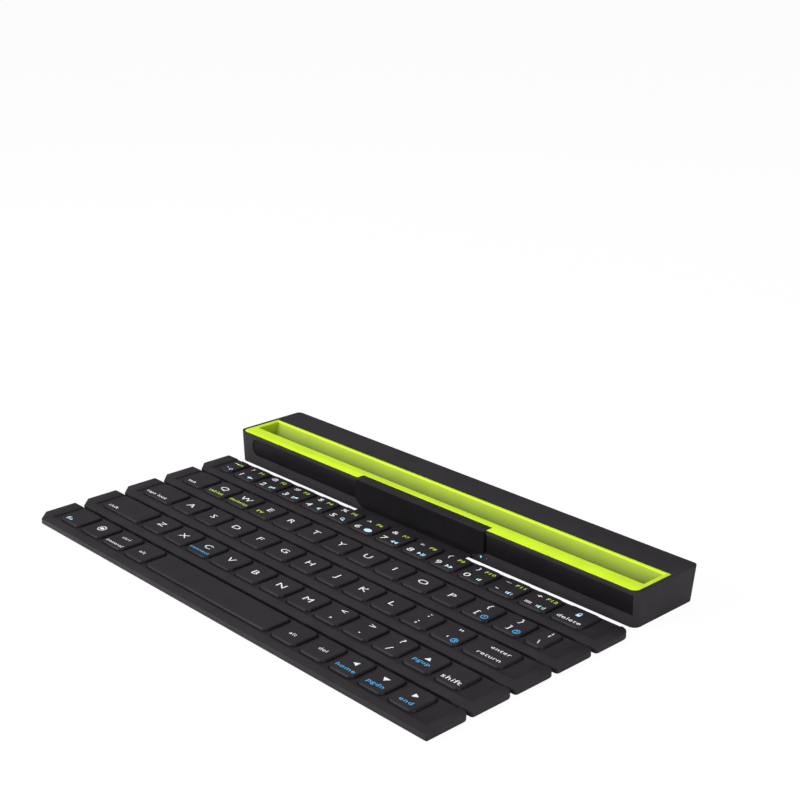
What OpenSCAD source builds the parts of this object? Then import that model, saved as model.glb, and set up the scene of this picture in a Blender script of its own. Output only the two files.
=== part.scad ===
// Roll-up wireless keyboard: five rigid key bars joined by rubber webs, and a tray bar that stands
// tablets and phones.
// Millimetres, +Z up, +Y from the space bar towards the tray bar. The origin is in the middle of the footprint.

/* [Key bars] */
// Depth of each key bar, front to back
bar_d = 22.2; // [21.6:0.1:26]
// Thickness of a key bar, from the table to its rim
bar_t = 3.2; // [3.1:0.05:5]
// Gap between two neighbouring bars
seam = 1.2; // [0.8:0.1:2]
// Thickness of the rubber base plate under each bar
base_t = 0.6; // [0.5:0.05:1]
// How far the base plate is set in from the bar's edge
base_inset = 0.8; // [0.4:0.1:1.5]
// Leg of the chamfer at each bar's front left corner
bar_chamfer = 6; // [2:0.5:7]
// Corner radius at the back right of each bar
bar_corner_r = 2.2; // [1:0.1:3]
// Corner radius at the back right of the number bar
end_corner_r = 5.5; // [2:0.1:7]
// Radius of the small corners
small_r = 0.6; // [0.3:0.1:1]
// Depth of the recess that the keys stand in
well_deep = 0.4; // [0.2:0.05:0.6]
// Rim left of the recess
well_left = 7.6; // [5:0.1:9]
// Rim right of the recess
well_right = 5.2; // [3:0.1:8]
// Width of recess in front of the keys
well_front = 1.3; // [0.5:0.1:2]

/* [Keys] */
// Width of a letter key
key_w = 15.2; // [14:0.1:15.4]
// Depth of every key
key_d = 14.8; // [14:0.1:15]
// Space between two keys
key_gap = 2.8; // [2.4:0.1:3]
// From the bar's front edge to the keys
key_front = 6.5; // [6:0.1:6.6]
// From the bar's left end to the first key
key_left = 11.8; // [10:0.1:14]
// From the last key to the bar's right end
key_right = 14.6; // [12:0.1:16]
// Height of the key tops above the recess floor
key_rise = 1.2; // [1.1:0.05:1.6]
// Travel of a pressed key
key_travel = 0.95; // [0.6:0.05:0.95]
// Corner radius of a key
key_r = 2.5; // [1:0.1:3]
// How much narrower a key is at its top, on each side
key_taper = 0.4; // [0.1:0.05:0.6]
// Bevel round the top of a key
key_bevel = 0.3; // [0.1:0.05:0.4]
// Play between a key and its opening
key_play = 0.2; // [0.1:0.05:0.3]
// Thickness of the wings that hold a key in
wing_t = 0.45; // [0.3:0.05:0.5]
// How far a wing reaches under the frame
wing_out = 0.7; // [0.4:0.1:0.9]
// Thickness of the frame between the keys
web_t = 0.45; // [0.3:0.05:0.6]
// Thickness of the switch sheet under the keys
sheet_t = 0.25; // [0.1:0.05:0.3]
// Widths of the first key in the number, upper, home and lower rows
first_key_w = [8.9, 15.9, 21.8, 30.6];
// Width of the delete key at the end of the number row
delete_w = 17.1; // [16:0.1:24]
// Width of an arrow key in the space bar's row
arrow_w = 14.2; // [13:0.1:14.6]

/* [Tray bar] */
// Length of the tray bar at its top
tray_l = 266; // [240:0.1:270]
// Depth of the tray bar at its top
tray_d = 40.7; // [39.5:0.1:50]
// Height of the tray bar's top above the table
tray_h = 17.1; // [15:0.1:22]
// Wall thickness of the tray housing
wall = 2; // [1.8:0.1:2.4]
// How far the back wall leans out at its top
back_lean = 1.8; // [0:0.1:3]
// How far each end wall leans out at its top
end_lean = 0.8; // [0:0.1:2]
// Radius of the tray bar's front corners
front_r = 3.5; // [2:0.1:5]
// Radius of the tray bar's back corners
back_r = 1.6; // [0.5:0.1:2]
// How far the key bars sit left of the tray bar's middle
bar_shift = 0.6; // [0:0.1:1.5]
// Space between the number bar and the tray bar
strap_gap = 5.6; // [5:0.1:9]
// Height of the rubber feet below the housing
foot_h = 0.3; // [0.2:0.05:0.5]

/* [Liner and slot] */
// Depth of the coloured liner, from the front edge
liner_d = 24.2; // [23.8:0.1:24.6]
// Thickness of the liner's top plate
liner_t = 1.5; // [1:0.1:1.8]
// Wall thickness of the pocket under the slot
pocket_t = 1.2; // [0.8:0.1:1.3]
// Lip of housing that shows round the liner
lip = 0.4; // [0.3:0.05:0.6]
// Width of that lip at each end of the tray bar
lip_end = 1.8; // [0.4:0.1:2.2]
// Distance from the front edge to the slot
slot_front = 8.7; // [7:0.1:9]
// Width of the slot at its floor
slot_floor_w = 8.2; // [7:0.1:8.6]
// Width of the slot at its mouth
slot_w = 14.1; // [12:0.1:14.2]
// Depth of the slot
slot_deep = 10; // [7:0.1:10.5]
// Distance from the slot to each end of the tray bar
slot_end = 4.2; // [4:0.1:8]

/* [Bridge and strap] */
// Width of the bridge cover in the middle of the tray bar
bridge_w = 86.5; // [80:0.5:100]
// How far the bridge cover sits right of the middle
bridge_x = 3.5; // [0:0.1:6]
// How far the bridge cover stands out in front
bridge_out = 1.1; // [0.8:0.1:2]
// Bevel along the bridge cover's top front edge
bridge_bevel = 0.5; // [0.2:0.05:0.7]
// Depth of the bridge cover's top arm behind the front edge
bridge_in = 4.5; // [3:0.1:5]
// Height of the bridge cover's lower edge above the table
bridge_z = 3.4; // [3.3:0.1:5]
// Width of the hinge strap
strap_w = 74; // [50:0.5:78]
// How far the hinge strap sits right of the middle
strap_x = 1.3; // [0:0.1:6]
// Thickness of the hinge strap
strap_t = 1; // [0.8:0.1:1.1]
// Thickness of the webs between the bars
web_rubber_t = 0.45; // [0.3:0.05:0.5]
// How far a web reaches under each bar
web_grip = 2; // [1.5:0.1:2.5]
// Width of the ribbon cable
ribbon_w = 24; // [12:1:30]
// Thickness of the ribbon cable
ribbon_t = 0.2; // [0.1:0.05:0.3]

/* [Front panel and lights] */
// Left end of the front panel, from the tray bar's left end
panel_left = 10.5; // [6:0.1:14]
// Right end of the front panel, from the tray bar's right end
panel_right = 2.6; // [2:0.1:14]
// Lower edge of the front panel above the table
panel_z = 6.1; // [5:0.1:7]
// Corner radius at the front panel's left end
panel_r = 4; // [2:0.1:4.2]
// From the liner's seat down to the front panel
panel_under = 0.5; // [0.4:0.1:2]
// Depth of the recess that holds the front panel
panel_deep = 0.9; // [0.6:0.05:1.1]
// Thickness of the front panel
panel_t = 0.6; // [0.3:0.05:0.6]
// Radius of a status light
light_r = 0.6; // [0.4:0.05:0.8]
// Distance between the two status lights
light_pitch = 3.5; // [3:0.1:6]
// Height of the status lights above the table
light_z = 3.4; // [3:0.1:4]

/* [Inside the tray bar] */
// Thickness of the bottom cover
cover_t = 1.2; // [1:0.1:1.4]
// Thickness of a circuit board
board_t = 0.8; // [0.6:0.1:1]
// Length of the main board
board_l = 92; // [88:1:110]
// Depth of the main board
board_d = 15; // [10:0.5:16]
// Length of the battery
battery_l = 104; // [60:1:106]
// Depth of the battery
battery_d = 7; // [6:0.5:7]
// Height of the battery
battery_h = 11.5; // [6:0.5:12]
// Thread radius of a cover screw
screw_r = 0.8; // [0.6:0.05:1]
// Length of a cover screw
screw_l = 6; // [4:0.5:6]
// Head radius of a cover screw
screw_head_r = 1.6; // [1.2:0.05:1.8]
// Radius of a screw boss
boss_r = 2.2; // [2:0.1:2.6]
// Radius of a closing magnet
magnet_r = 1.7; // [1.2:0.1:1.8]
// Height of a closing magnet
magnet_h = 1.5; // [0.8:0.1:1.7]

/* [Hidden] */
$fn = 48;
fit = 0.05;            // play between pieces that are pressed or glued together
close = 0.1;           // play round a lens or a screw
cut = 1;               // how far a cut runs past the face it opens

// Rows from the tray bar to the front: number, upper, home, lower, space.
ROWS = 5;
row_pitch = bar_d + seam;
bars_d = ROWS * bar_d + (ROWS - 1) * seam;
whole_d = bars_d + strap_gap + tray_d;
tray_y = whole_d / 2 - tray_d;                        // front face of the tray bar
function row_y(row) = tray_y - strap_gap - bar_d - row * row_pitch;   // front edge of a bar

// Heights through a key bar, from the table up.
well_z = bar_t - well_deep;
key_top = well_z + key_rise;
ledge_z = well_z - web_t;                              // underside of the frame round a key
wing_z = ledge_z - fit - wing_t;                       // underside of a key's wings at rest
cap_z = wing_z + ribbon_t;                             // a pressed cap clears the ribbon that lies on the sheet
sheet_z = base_t;

// Along the bars: the number row's keys set the length, and the other rows' last keys fill it.
function sum(v, n) = n <= 0 ? 0 : v[n - 1] + sum(v, n - 1);
function repeat(value, n) = [for (i = [1:n]) value];
function used(v) = sum(v, len(v)) + len(v) * key_gap;
function letters(row) = concat([first_key_w[row]], repeat(key_w, [12, 12, 11, 11][row]));
keys_l = used(letters(0)) + delete_w;
bar_l = key_left + keys_l + key_right;
bar_x = -bar_l / 2 - bar_shift;
SPACE_LEFT = repeat(key_w, 4);
SPACE_RIGHT = concat(repeat(key_w, 2), repeat(arrow_w, 3));
space_w = keys_l - used(SPACE_LEFT) - used(SPACE_RIGHT);
function key_widths(row) = row == 4
    ? concat(SPACE_LEFT, [space_w], SPACE_RIGHT)
    : concat(letters(row), [keys_l - used(letters(row))]);
function key_x(row, k) = bar_x + key_left + sum(key_widths(row), k) + k * key_gap;
KEY_COUNT = [14, 14, 13, 13, 10];

// Places inside the tray bar.
cover_z = foot_h;
cover_top = cover_z + cover_t;
deck_t = 1.8;
ledge_w = 0.7;                                         // step that carries the liner's back edge
slot_floor_z = tray_h - slot_deep;
slot_x = tray_l / 2 - slot_end;
rebate_z = tray_h - liner_t;
panel_h = rebate_z - panel_under - panel_z;
strap_z = well_z - strap_t;
strap_grip = 2.4;                                      // height of the strap's bead inside the tray bar
ribbon_grip = 3;                                       // overlap of the ribbon with sheet and main board
strap_wall = 0.9;                                      // thickness of the strap's two upright legs
board_z = strap_z - fit;
board_y = tray_y + wall + 3.2;
rear_y = tray_y + liner_d + 1;                         // front of the space behind the slot
light_x = bridge_x + bridge_w / 2 - 2.6;
port_w = 7.6;
port_h = 2.7;
port_l = 5.4;
port_shell = 0.35;
port_y = tray_y + tray_d - back_lean - wall - 7;
port_board_l = 6.5;
port_board_d = 10;
screw_end = 13.8;                                      // from the tray bar's ends to the outer screws
screw_mid = 62;                                        // from the middle to the inner screws
SCREW_X = [screw_end - tray_l / 2, -screw_mid, screw_mid, tray_l / 2 - screw_end];
screw_in = screw_head_r + 0.3;                         // from a wall to a screw's middle
screw_front_y = tray_y + wall + screw_in;
screw_back_y = tray_y + tray_d - back_lean - wall - screw_in;
SCREWS = [for (x = SCREW_X, y = [screw_front_y, screw_back_y]) [x, y]];
head_deep = 0.7;                                       // depth of the hole that hides a screw head
boss_top = cover_z + head_deep + screw_l + 1;
foot_l = 96;
foot_w = 4;
foot_sunk = 0.6;
foot_apart = 28;                                       // between the left and right foot strips
foot_front = 11;                                       // from the tray bar's front edge to a strip's middle
foot_back = 12;                                        // the same from its back edge
FEET = [for (x = [-1, 1] * (foot_l + foot_apart) / 2, y = [foot_front, tray_d - back_lean - foot_back])
    [x, tray_y + y]];
magnet_pitch = 60;
MAGNET_X = [for (i = [0:3]) (i - 1.5) * magnet_pitch];
magnet_tray_y = tray_y + wall + 2.5;                   // between the front wall and the slot's pocket
magnet_bar_y = row_y(ROWS - 1) + key_front / 2 - 0.3;  // in the land in front of the space bar

// ---- shared shapes ----

// A profile in Y and Z, drawn along X from x0 for a length l.
module along_x(x0, l) {
    translate([x0, 0, 0]) rotate([90, 0, 90]) linear_extrude(l) children();
}

// A profile in X and Z, drawn along Y from y0 for a length l.
module along_y(y0, l) {
    translate([0, y0 + l, 0]) rotate([90, 0, 0]) linear_extrude(l) children();
}

// What a round corner takes off a square one. The corner is at the origin, the shape up and right of it.
module corner_cut(r) {
    difference() {
        translate([-cut, -cut]) square(r + cut);
        translate([r, r]) circle(r);
    }
}

module rounded_rect(w, d, r) {
    translate([r, 0]) square([w - 2 * r, d]);
    translate([0, r]) square([w, d - 2 * r]);
    for (x = [r, w - r], y = [r, d - r]) translate([x, y]) circle(r);
}

// A rectangle with half-round ends.
module long_round(w, d) {
    translate([d / 2, 0]) square([w - d, d]);
    for (x = [d / 2, w - d / 2]) translate([x, d / 2]) circle(d / 2);
}

// ---- key bars ----

// Outline of a bar seen from above, with its front left corner at the origin.
module bar_outline(row, inset) {
    l = bar_l - 2 * inset;
    d = bar_d - 2 * inset;
    translate([inset, inset]) difference() {
        square([l, d]);
        polygon([
            [-cut, -cut], [bar_chamfer, -cut], [bar_chamfer, 0], [0, bar_chamfer], [-cut, bar_chamfer]
        ]);
        translate([0, d]) mirror([0, 1]) corner_cut(small_r);
        translate([l, 0]) mirror([1, 0]) corner_cut(small_r);
        translate([l, d]) rotate(180) corner_cut(row == 0 ? end_corner_r : bar_corner_r);
    }
}

// The whole bar with its key recess and openings, above the base plate.
module row_frame(row) {
    pocket_x = key_x(row, 0) - key_play - wing_out - fit;
    pocket_l = keys_l + 2 * (key_play + wing_out + fit);
    color("#2d2b2e") translate([0, row_y(row), 0]) difference() {
        translate([bar_x, 0, base_t]) linear_extrude(bar_t - base_t) bar_outline(row, 0);
        translate([bar_x + well_left, key_front - well_front, well_z])
            cube([bar_l - well_left - well_right, bar_d, bar_t]);
        translate([pocket_x, key_front - key_play, base_t - cut])
            cube([pocket_l, key_d + 2 * key_play, ledge_z - base_t + cut]);
        for (k = [0:KEY_COUNT[row] - 1])
            translate([key_x(row, k) - key_play, key_front - key_play, base_t])
                linear_extrude(bar_t)
                    rounded_rect(key_widths(row)[k] + 2 * key_play, key_d + 2 * key_play, key_r + key_play);
        if (row == 0) translate([strap_x - ribbon_w / 2 - fit, bar_d - wall, base_t - cut])
            cube([ribbon_w + 2 * fit, wall + cut, cut + sheet_t + ribbon_t + 2 * fit]);
        if (row == ROWS - 1) translate([0, -row_y(row), base_t - cut])
            magnet_discs(magnet_bar_y, magnet_r + fit, magnet_h + fit + cut);
    }
}

// Edges of a base plate: it stops short where a web lies under the bar.
module row_base(row) {
    front = row == ROWS - 1 ? 0 : web_grip + fit;
    back = web_grip + fit;
    color("#1f1e20") translate([bar_x, row_y(row), 0]) linear_extrude(base_t) intersection() {
        bar_outline(row, base_inset);
        translate([0, front]) square([bar_l, bar_d - front - back]);
    }
}

// The printed sheet that a key presses on.
module row_sheet(row) {
    color("#8a8f94") translate([key_x(row, 0), row_y(row) + key_front, sheet_z])
        cube([keys_l, key_d - fit, sheet_t]);
}

// The rubber that joins two bars: row is the one nearer to the tray bar.
module row_web(row) {
    z = base_t - fit - web_rubber_t;
    color("#1a191b") translate([bar_x + bar_chamfer + well_left, row_y(row) - seam - web_grip, z])
        cube([bar_l - bar_chamfer - 2 * well_left, seam + 2 * web_grip, web_rubber_t]);
}

// One key: a tapered, bevelled cap, and two wings that keep it under the frame.
module key_cap(row, k) {
    w = key_widths(row)[k];
    x = key_x(row, k);
    y = row_y(row) + key_front;
    wing_in = ribbon_grip + 0.2;                       // pressed wings miss the ribbon's end
    translate([x, y, 0]) intersection() {
        translate([0, 0, cap_z]) linear_extrude(key_top - cap_z) rounded_rect(w, key_d, key_r);
        along_y(-cut, key_d + 2 * cut) cap_profile(w);
        along_x(-cut, w + 2 * cut) cap_profile(key_d);
    }
    translate([x - wing_out - key_play + fit, y + wing_in, wing_z])
        cube([w + 2 * (wing_out + key_play - fit), key_d - 2 * wing_in, wing_t]);
}

// Side view of a cap of this width.
module cap_profile(w) {
    t = key_taper;
    b = key_bevel;
    polygon([
        [-cut, wing_z - cut], [w + cut, wing_z - cut], [w + cut, well_z], [w, well_z],
        [w - t, key_top - b], [w - t - b, key_top], [t + b, key_top], [t, key_top - b], [0, well_z],
        [-cut, well_z]
    ]);
}

// Four discs in a line along X, at a distance y.
module magnet_discs(y, r, h) {
    for (x = MAGNET_X) translate([x, y, 0]) cylinder(r = r, h = h);
}

module keys(row, first, last) {
    color("#302e31") for (k = [first:last]) key_cap(row, k);
}

// ---- tray bar ----

// The outer form: two leaning ends, a leaning back and rounded upright corners.
module tray_form() {
    translate([0, tray_y, 0]) intersection() {
        along_x(-tray_l / 2, tray_l)
            polygon([[0, foot_h], [tray_d - back_lean, foot_h], [tray_d, tray_h], [0, tray_h]]);
        along_y(0, tray_d) polygon([
            [end_lean - tray_l / 2, foot_h], [tray_l / 2 - end_lean, foot_h],
            [tray_l / 2, tray_h], [-tray_l / 2, tray_h]
        ]);
        linear_extrude(tray_h) tray_outline(0, tray_d);
    }
}

// The tray bar's outline from above, from the front edge to a depth d. The front corners are round.
// It is set in by one amount in front and by another at the ends.
module tray_outline(inset, d, inset_end = 0) {
    w = tray_l - 2 * inset_end;
    r = front_r - inset;
    translate([-w / 2, inset]) difference() {
        square([w, d - inset]);
        corner_cut(r);
        translate([w, 0]) mirror([1, 0]) corner_cut(r);
        if (d == tray_d) {
            translate([0, d]) mirror([0, 1]) corner_cut(back_r);
            translate([w, d]) rotate(180) corner_cut(back_r);
        }
    }
}

module tray_housing() {
    inner_l = tray_l - 2 * (wall + end_lean);
    color("#2d2b2e") difference() {
        union() {
            difference() {
                tray_form();
                translate([0, tray_y, 0]) along_x(-inner_l / 2, inner_l) polygon([
                    [wall, -cut], [tray_d - back_lean - wall, -cut], [tray_d - back_lean - wall, foot_h],
                    [tray_d - wall, tray_h - deck_t], [liner_d - ledge_w, tray_h - deck_t],
                    [liner_d - ledge_w, tray_h + cut], [wall, tray_h + cut]
                ]);
            }
            intersection() {
                tray_form();
                for (p = SCREWS) translate([p[0], p[1], cover_top + fit])
                    cylinder(r = boss_r, h = boss_top - cover_top);
            }
        }
        for (p = SCREWS) translate([p[0], p[1], 0])
            cylinder(r = screw_r, h = cover_z + head_deep + screw_l + fit);
        translate([0, tray_y, rebate_z]) linear_extrude(liner_t + cut) tray_outline(lip, liner_d, lip_end);
        front_panel_shape(0, panel_deep);
        translate([bridge_x - bridge_w / 2 - fit, tray_y - cut, rebate_z])
            cube([bridge_w + 2 * fit, wall + cut, liner_t + cut]);
        translate([strap_x - strap_w / 2 - fit, tray_y - cut, strap_z - 2 * fit - ribbon_t])
            cube([strap_w + 2 * fit, wall + 2 * cut, strap_t + 3 * fit + ribbon_t]);
        for (p = LIGHTS) translate(p) rotate([-90, 0, 0]) cylinder(r = light_r, h = wall + cut);
        translate([-tray_l / 2 - cut, port_y - port_w / 2 - fit, port_z - fit])
            cube([wall + end_lean + 2 * cut, port_w + 2 * fit, port_h + 2 * fit]);
    }
}
LIGHTS = [for (i = [0, 1]) [light_x + i * light_pitch, tray_y, light_z]];
port_board_z = cover_top + 1.4;
port_z = port_board_z + board_t;

// The front panel's outline, rounded at its left end, from a depth y0 to y1 behind the front face.
module front_panel_shape(y0, y1, play = 0) {
    x0 = -tray_l / 2 + panel_left + play;
    x1 = tray_l / 2 - panel_right - play;
    r = panel_r - play;
    h = panel_h - 2 * play;
    open = y0 == 0 ? cut : 0;
    along_y(tray_y + y0 - open, y1 - y0 + open) translate([x0, panel_z + play]) {
        translate([r, 0]) square([x1 - x0 - r, h]);
        translate([0, r]) square([r, h - 2 * r]);
        for (z = [r, h - r]) translate([r, z]) circle(r);
    }
}

module front_panel() {
    color("#18171a") front_panel_shape(panel_deep - panel_t, panel_deep, fit);
}

// The coloured liner: a top plate with the slot through it, and the pocket under it that devices stand in.
module tray_liner() {
    back = slot_front + slot_w;
    floor_back = slot_front + slot_floor_w;
    color("#c8e632") difference() {
        union() {
            translate([0, tray_y, rebate_z]) linear_extrude(liner_t) tray_outline(lip + fit, liner_d - fit, lip_end + fit);
            translate([0, tray_y, 0]) along_x(-slot_x - pocket_t, 2 * (slot_x + pocket_t)) polygon([
                [slot_front - pocket_t, slot_floor_z - pocket_t],
                [floor_back + pocket_t / 4, slot_floor_z - pocket_t],
                [liner_d - ledge_w - fit, rebate_z], [slot_front - pocket_t, rebate_z]
            ]);
        }
        translate([0, tray_y, 0]) along_x(-slot_x, 2 * slot_x) polygon([
            [slot_front, slot_floor_z], [floor_back, slot_floor_z],
            [back, tray_h], [back, tray_h + cut], [slot_front, tray_h + cut]
        ]);
        translate([bridge_x - bridge_w / 2 - fit, tray_y - cut, rebate_z - cut])
            cube([bridge_w + 2 * fit, cut + bridge_in + fit, liner_t + 2 * cut]);
    }
}

// The cover over the hinge strap's anchor: a plate on the front face with an arm over the top.
// The plate narrows below the front panel to the width of the strap.
module bridge_cover() {
    left = bridge_x - bridge_w / 2;
    right = bridge_x + bridge_w / 2;
    b = bridge_bevel;
    color("#232225") intersection() {
        along_y(tray_y - bridge_out, bridge_out + bridge_in) polygon([
            [left, panel_z], [strap_x - strap_w / 2, bridge_z], [strap_x + strap_w / 2, bridge_z],
            [right, panel_z], [right, tray_h], [left, tray_h]
        ]);
        translate([0, tray_y, 0]) along_x(left, bridge_w) polygon([
            [-bridge_out, 0], [-fit, 0], [-fit, rebate_z], [bridge_in, rebate_z],
            [bridge_in, tray_h], [b - bridge_out, tray_h], [-bridge_out, tray_h - b]
        ]);
    }
}

module status_lights() {
    lens_l = wall + 0.6;
    color("#7fc4ff") for (p = LIGHTS) translate(p) rotate([-90, 0, 0])
        cylinder(r = light_r - close, h = lens_l);
}

module bottom_cover() {
    w = tray_l - 2 * (wall + end_lean + fit);
    d = tray_d - back_lean - 2 * (wall + fit);
    post_r = 1.3;
    post_in = 3;                                       // from a board's edge to the middle of a post
    color("#262527") difference() {
        union() {
            translate([-w / 2, tray_y + wall + fit, cover_z]) cube([w, d, cover_t]);
            for (x = [post_in, board_l - post_in], y = [post_in, board_d - post_in])
                translate([board_x + x, board_y + y, cover_top])
                cylinder(r = post_r, h = board_z - cover_top);
            for (y = [post_in, port_board_d - post_in])
                translate([port_board_x + port_board_l / 2, port_y - port_board_d / 2 + y, cover_top])
                cylinder(r = post_r, h = port_board_z - cover_top);
        }
        for (p = SCREWS) translate([p[0], p[1], 0]) {
            cylinder(r = screw_r + 0.1, h = cover_top + cut);
            cylinder(r = screw_head_r + 0.1, h = cover_z + head_deep);
        }
        for (p = FEET) translate([p[0] - foot_l / 2, p[1] - foot_w / 2, 0])
            linear_extrude(cover_z + foot_sunk) long_round(foot_l, foot_w);
    }
}
board_x = bridge_x - board_l / 2 + 6;
port_board_x = -tray_l / 2 + end_lean + wall + 1;

module foot_strips() {
    color("#1a191b") for (p = FEET) translate([p[0] - foot_l / 2 + fit, p[1] - foot_w / 2 + fit, 0])
        linear_extrude(cover_z + foot_sunk) long_round(foot_l - 2 * fit, foot_w - 2 * fit);
}

module cover_screws() {
    color("#9a9da1") for (p = SCREWS) translate([p[0], p[1], cover_z + head_deep - 0.6]) difference() {
        union() {
            cylinder(r = screw_head_r, h = 0.6);
            cylinder(r = screw_r - close, h = 0.6 + screw_l);
        }
        for (a = [0, 90]) rotate(a) translate([-1, -0.15, -cut]) cube([2, 0.3, cut + 0.35]);
    }
}

// The controller board with its chips and the ribbon's socket.
module main_board() {
    chip_h = 1;
    socket_d = ribbon_grip;
    chip_w = 5;
    chip_y = board_d - chip_w - 2;
    color("#1c5a3c") {
        translate([board_x, board_y, board_z]) cube([board_l, board_d, board_t]);
        for (k = [1:5])
            translate([board_x + k * board_l / 6 - chip_w / 2, board_y + chip_y, board_z + board_t])
            cube([k == 3 ? 2 * chip_w : chip_w, chip_w, chip_h]);
        translate([strap_x - ribbon_w / 2 - 1, board_y, board_z + board_t])
            cube([ribbon_w + 2, socket_d, chip_h]);
    }
}

module battery_cell() {
    color("#b9bcc0") translate([-battery_l - 4, rear_y, cover_top])
        along_x(0, battery_l) rounded_rect(battery_d, battery_h, 1.5);
}

module closing_magnets_tray() {
    color("#a8abb0") translate([0, 0, rebate_z - magnet_h]) magnet_discs(magnet_tray_y, magnet_r, magnet_h);
}

module closing_magnets_bar() {
    color("#a8abb0") translate([0, 0, base_t]) magnet_discs(magnet_bar_y, magnet_r, magnet_h);
}

// The charging socket on its own small board, in the left end wall.
module charge_port() {
    color("#a8abb0") {
        translate([-tray_l / 2 + end_lean, port_y - port_w / 2, port_z]) difference() {
            cube([port_l, port_w, port_h]);
            translate([-cut, port_shell, port_shell])
                cube([port_l - port_shell + cut, port_w - 2 * port_shell, port_h - 2 * port_shell]);
        }
        translate([port_board_x, port_y - port_board_d / 2, port_board_z])
            cube([port_board_l, port_board_d, board_t]);
    }
}

// ---- the joint between the tray bar and the number bar ----

// The strap: a foot under the number bar, a leg up its back edge, the flexing band and a bead in the tray bar.
module hinge_strap() {
    back = -strap_gap;
    foot = back - web_grip;
    inside = wall + fit + strap_wall;
    low = base_t - fit - web_rubber_t;
    high = strap_z + strap_t;
    color("#1a191b") translate([0, tray_y, 0]) difference() {
        along_x(strap_x - strap_w / 2, strap_w) polygon([
            [foot, low], [back + fit + strap_wall, low], [back + fit + strap_wall, strap_z],
            [inside, strap_z], [inside, high + strap_grip], [wall + fit, high + strap_grip],
            [wall + fit, high], [back + fit, high], [back + fit, base_t - fit], [foot, base_t - fit]
        ]);
        translate([strap_x - ribbon_w / 2 - fit, back - 1, sheet_z + sheet_t - fit])
            cube([ribbon_w + 2 * fit, strap_wall + 1 + 2 * fit, ribbon_t + 2 * fit]);
    }
}

// The ribbon: from the number bar's sheet, up behind the strap's leg and along under the band to the board.
module ribbon_cable() {
    start = -strap_gap - bar_d + key_front + key_d - ribbon_grip;
    low = sheet_z + sheet_t;
    leg = -strap_gap + strap_wall + 2 * fit;
    high = strap_z - fit;
    end = board_y - tray_y + ribbon_grip;
    color("#c98a2e") translate([0, tray_y, 0]) along_x(strap_x - ribbon_w / 2, ribbon_w) polygon([
        [start, low], [leg + ribbon_t, low], [leg + ribbon_t, high - ribbon_t], [end, high - ribbon_t],
        [end, high], [leg, high], [leg, low + ribbon_t], [start, low + ribbon_t]
    ]);
}

tray_housing();
bottom_cover();
tray_liner();
front_panel();
bridge_cover();
status_lights();
main_board();
battery_cell();
charge_port();
cover_screws();
foot_strips();
closing_magnets_tray();
closing_magnets_bar();
hinge_strap();
ribbon_cable();

row_frame(0);  // number_row_frame
row_frame(1);  // upper_row_frame
row_frame(2);  // home_row_frame
row_frame(3);  // lower_row_frame
row_frame(4);  // space_row_frame
row_base(0);  // number_row_base
row_base(1);  // upper_row_base
row_base(2);  // home_row_base
row_base(3);  // lower_row_base
row_base(4);  // space_row_base
row_sheet(0);  // number_row_sheet
row_sheet(1);  // upper_row_sheet
row_sheet(2);  // home_row_sheet
row_sheet(3);  // lower_row_sheet
row_sheet(4);  // space_row_sheet
row_web(0);  // web_number_upper
row_web(1);  // web_upper_home
row_web(2);  // web_home_lower
row_web(3);  // web_lower_space

keys(0, 0, 0);  // key_grave
keys(0, 1, 12);  // number_keys
keys(0, 13, 13);  // key_delete
keys(1, 0, 0);  // key_tab
keys(1, 1, 12);  // upper_keys
keys(1, 13, 13);  // key_backslash
keys(2, 0, 0);  // key_caps
keys(2, 1, 11);  // home_keys
keys(2, 12, 12);  // key_enter
keys(3, 0, 0);  // key_shift_left
keys(3, 1, 10);  // lower_keys
keys(3, 11, 11);  // key_up
keys(3, 12, 12);  // key_shift_right
keys(4, 0, 0);  // key_fn
keys(4, 1, 1);  // key_system
keys(4, 2, 2);  // key_control
keys(4, 3, 3);  // key_alt_left
keys(4, 4, 4);  // key_space
keys(4, 5, 5);  // key_alt_right
keys(4, 6, 6);  // key_erase
keys(4, 7, 7);  // key_left
keys(4, 8, 8);  // key_down
keys(4, 9, 9);  // key_right
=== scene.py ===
# %% [markdown]
# # A roll-up keyboard, dressed in Blender
# The object is a flat keyboard made of five stiff key bars. Soft rubber webs join the bars, and a wide rubber
# strap joins them to a thick tray bar with a lime liner, in whose slot a tablet or a phone stands. The CAD frame
# already holds each piece at its real size and place. This lesson gives them their looks: soft edges, moulded
# plastic, rubber that bends at the folds, and the printing on the keys.

# %% Load the frame
import math

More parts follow.
